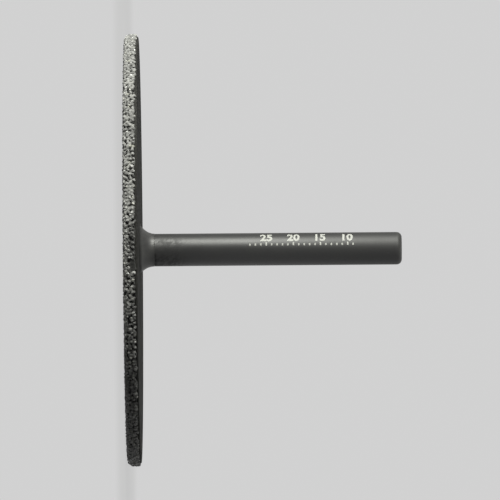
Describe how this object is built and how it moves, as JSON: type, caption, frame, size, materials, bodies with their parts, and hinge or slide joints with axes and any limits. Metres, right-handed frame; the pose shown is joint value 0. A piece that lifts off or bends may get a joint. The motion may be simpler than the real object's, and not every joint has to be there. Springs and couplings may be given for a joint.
{
  "type": "vacuum brazed diamond grinding bit",
  "caption": "Flat diamond grinding disc on a round shank: steel disc and shank, with diamond crystals brazed over its front face and rim, and a bare back face.",
  "frame": {"origin": "on the tool's axis, in the plane of the diamond tips on the disc's front face", "axes": "+Z along the tool's axis, from the front face to the shank's free end; X and Y across the disc"},
  "size_m": [0.08, 0.08, 0.051],
  "materials": {
    "disc_steel": "turned, darkened by the brazing furnace",
    "shank_steel": "ground, darkened by the brazing furnace",
    "nickel_braze": "melted and set, with small lumps and pits",
    "diamond": "sharp flat facets, wetted by the braze"
  },
  "bodies": {
    "root": {"wheel_disc": "disc_steel", "shank": "shank_steel", "braze_fillet": "nickel_braze", "diamond_bond": "nickel_braze", "diamond_grit": "diamond"}
  },
  "joints": []
}
